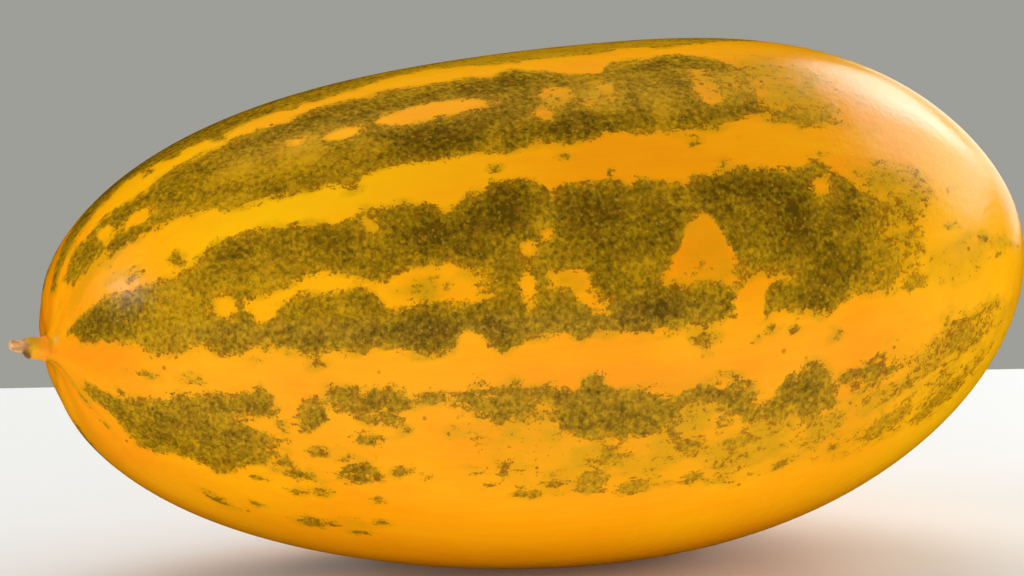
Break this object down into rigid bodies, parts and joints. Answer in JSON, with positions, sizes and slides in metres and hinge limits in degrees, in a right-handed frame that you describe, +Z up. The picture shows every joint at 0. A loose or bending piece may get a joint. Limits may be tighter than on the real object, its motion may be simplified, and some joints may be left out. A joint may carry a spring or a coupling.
{
  "type": "malabar cucumber",
  "caption": "Whole malabar cucumber: a long oval yellow fruit with dark olive mottled stripes and a short dried stem stub, lying on its belly.",
  "frame": {"origin": "centre of the flat spot the fruit rests on, straight below its centre of mass", "axes": "+Z up, +X towards the blossom end, the stem end towards -X and slightly towards -Y"},
  "size_m": [0.2077, 0.1028, 0.1044],
  "materials": {
    "skin": "waxy, orange yellow with dark olive mottled stripes",
    "stem": "dry, yellow neck and tan tip"
  },
  "bodies": {
    "root": {"fruit": "skin", "stem_stub": "stem"}
  },
  "joints": []
}
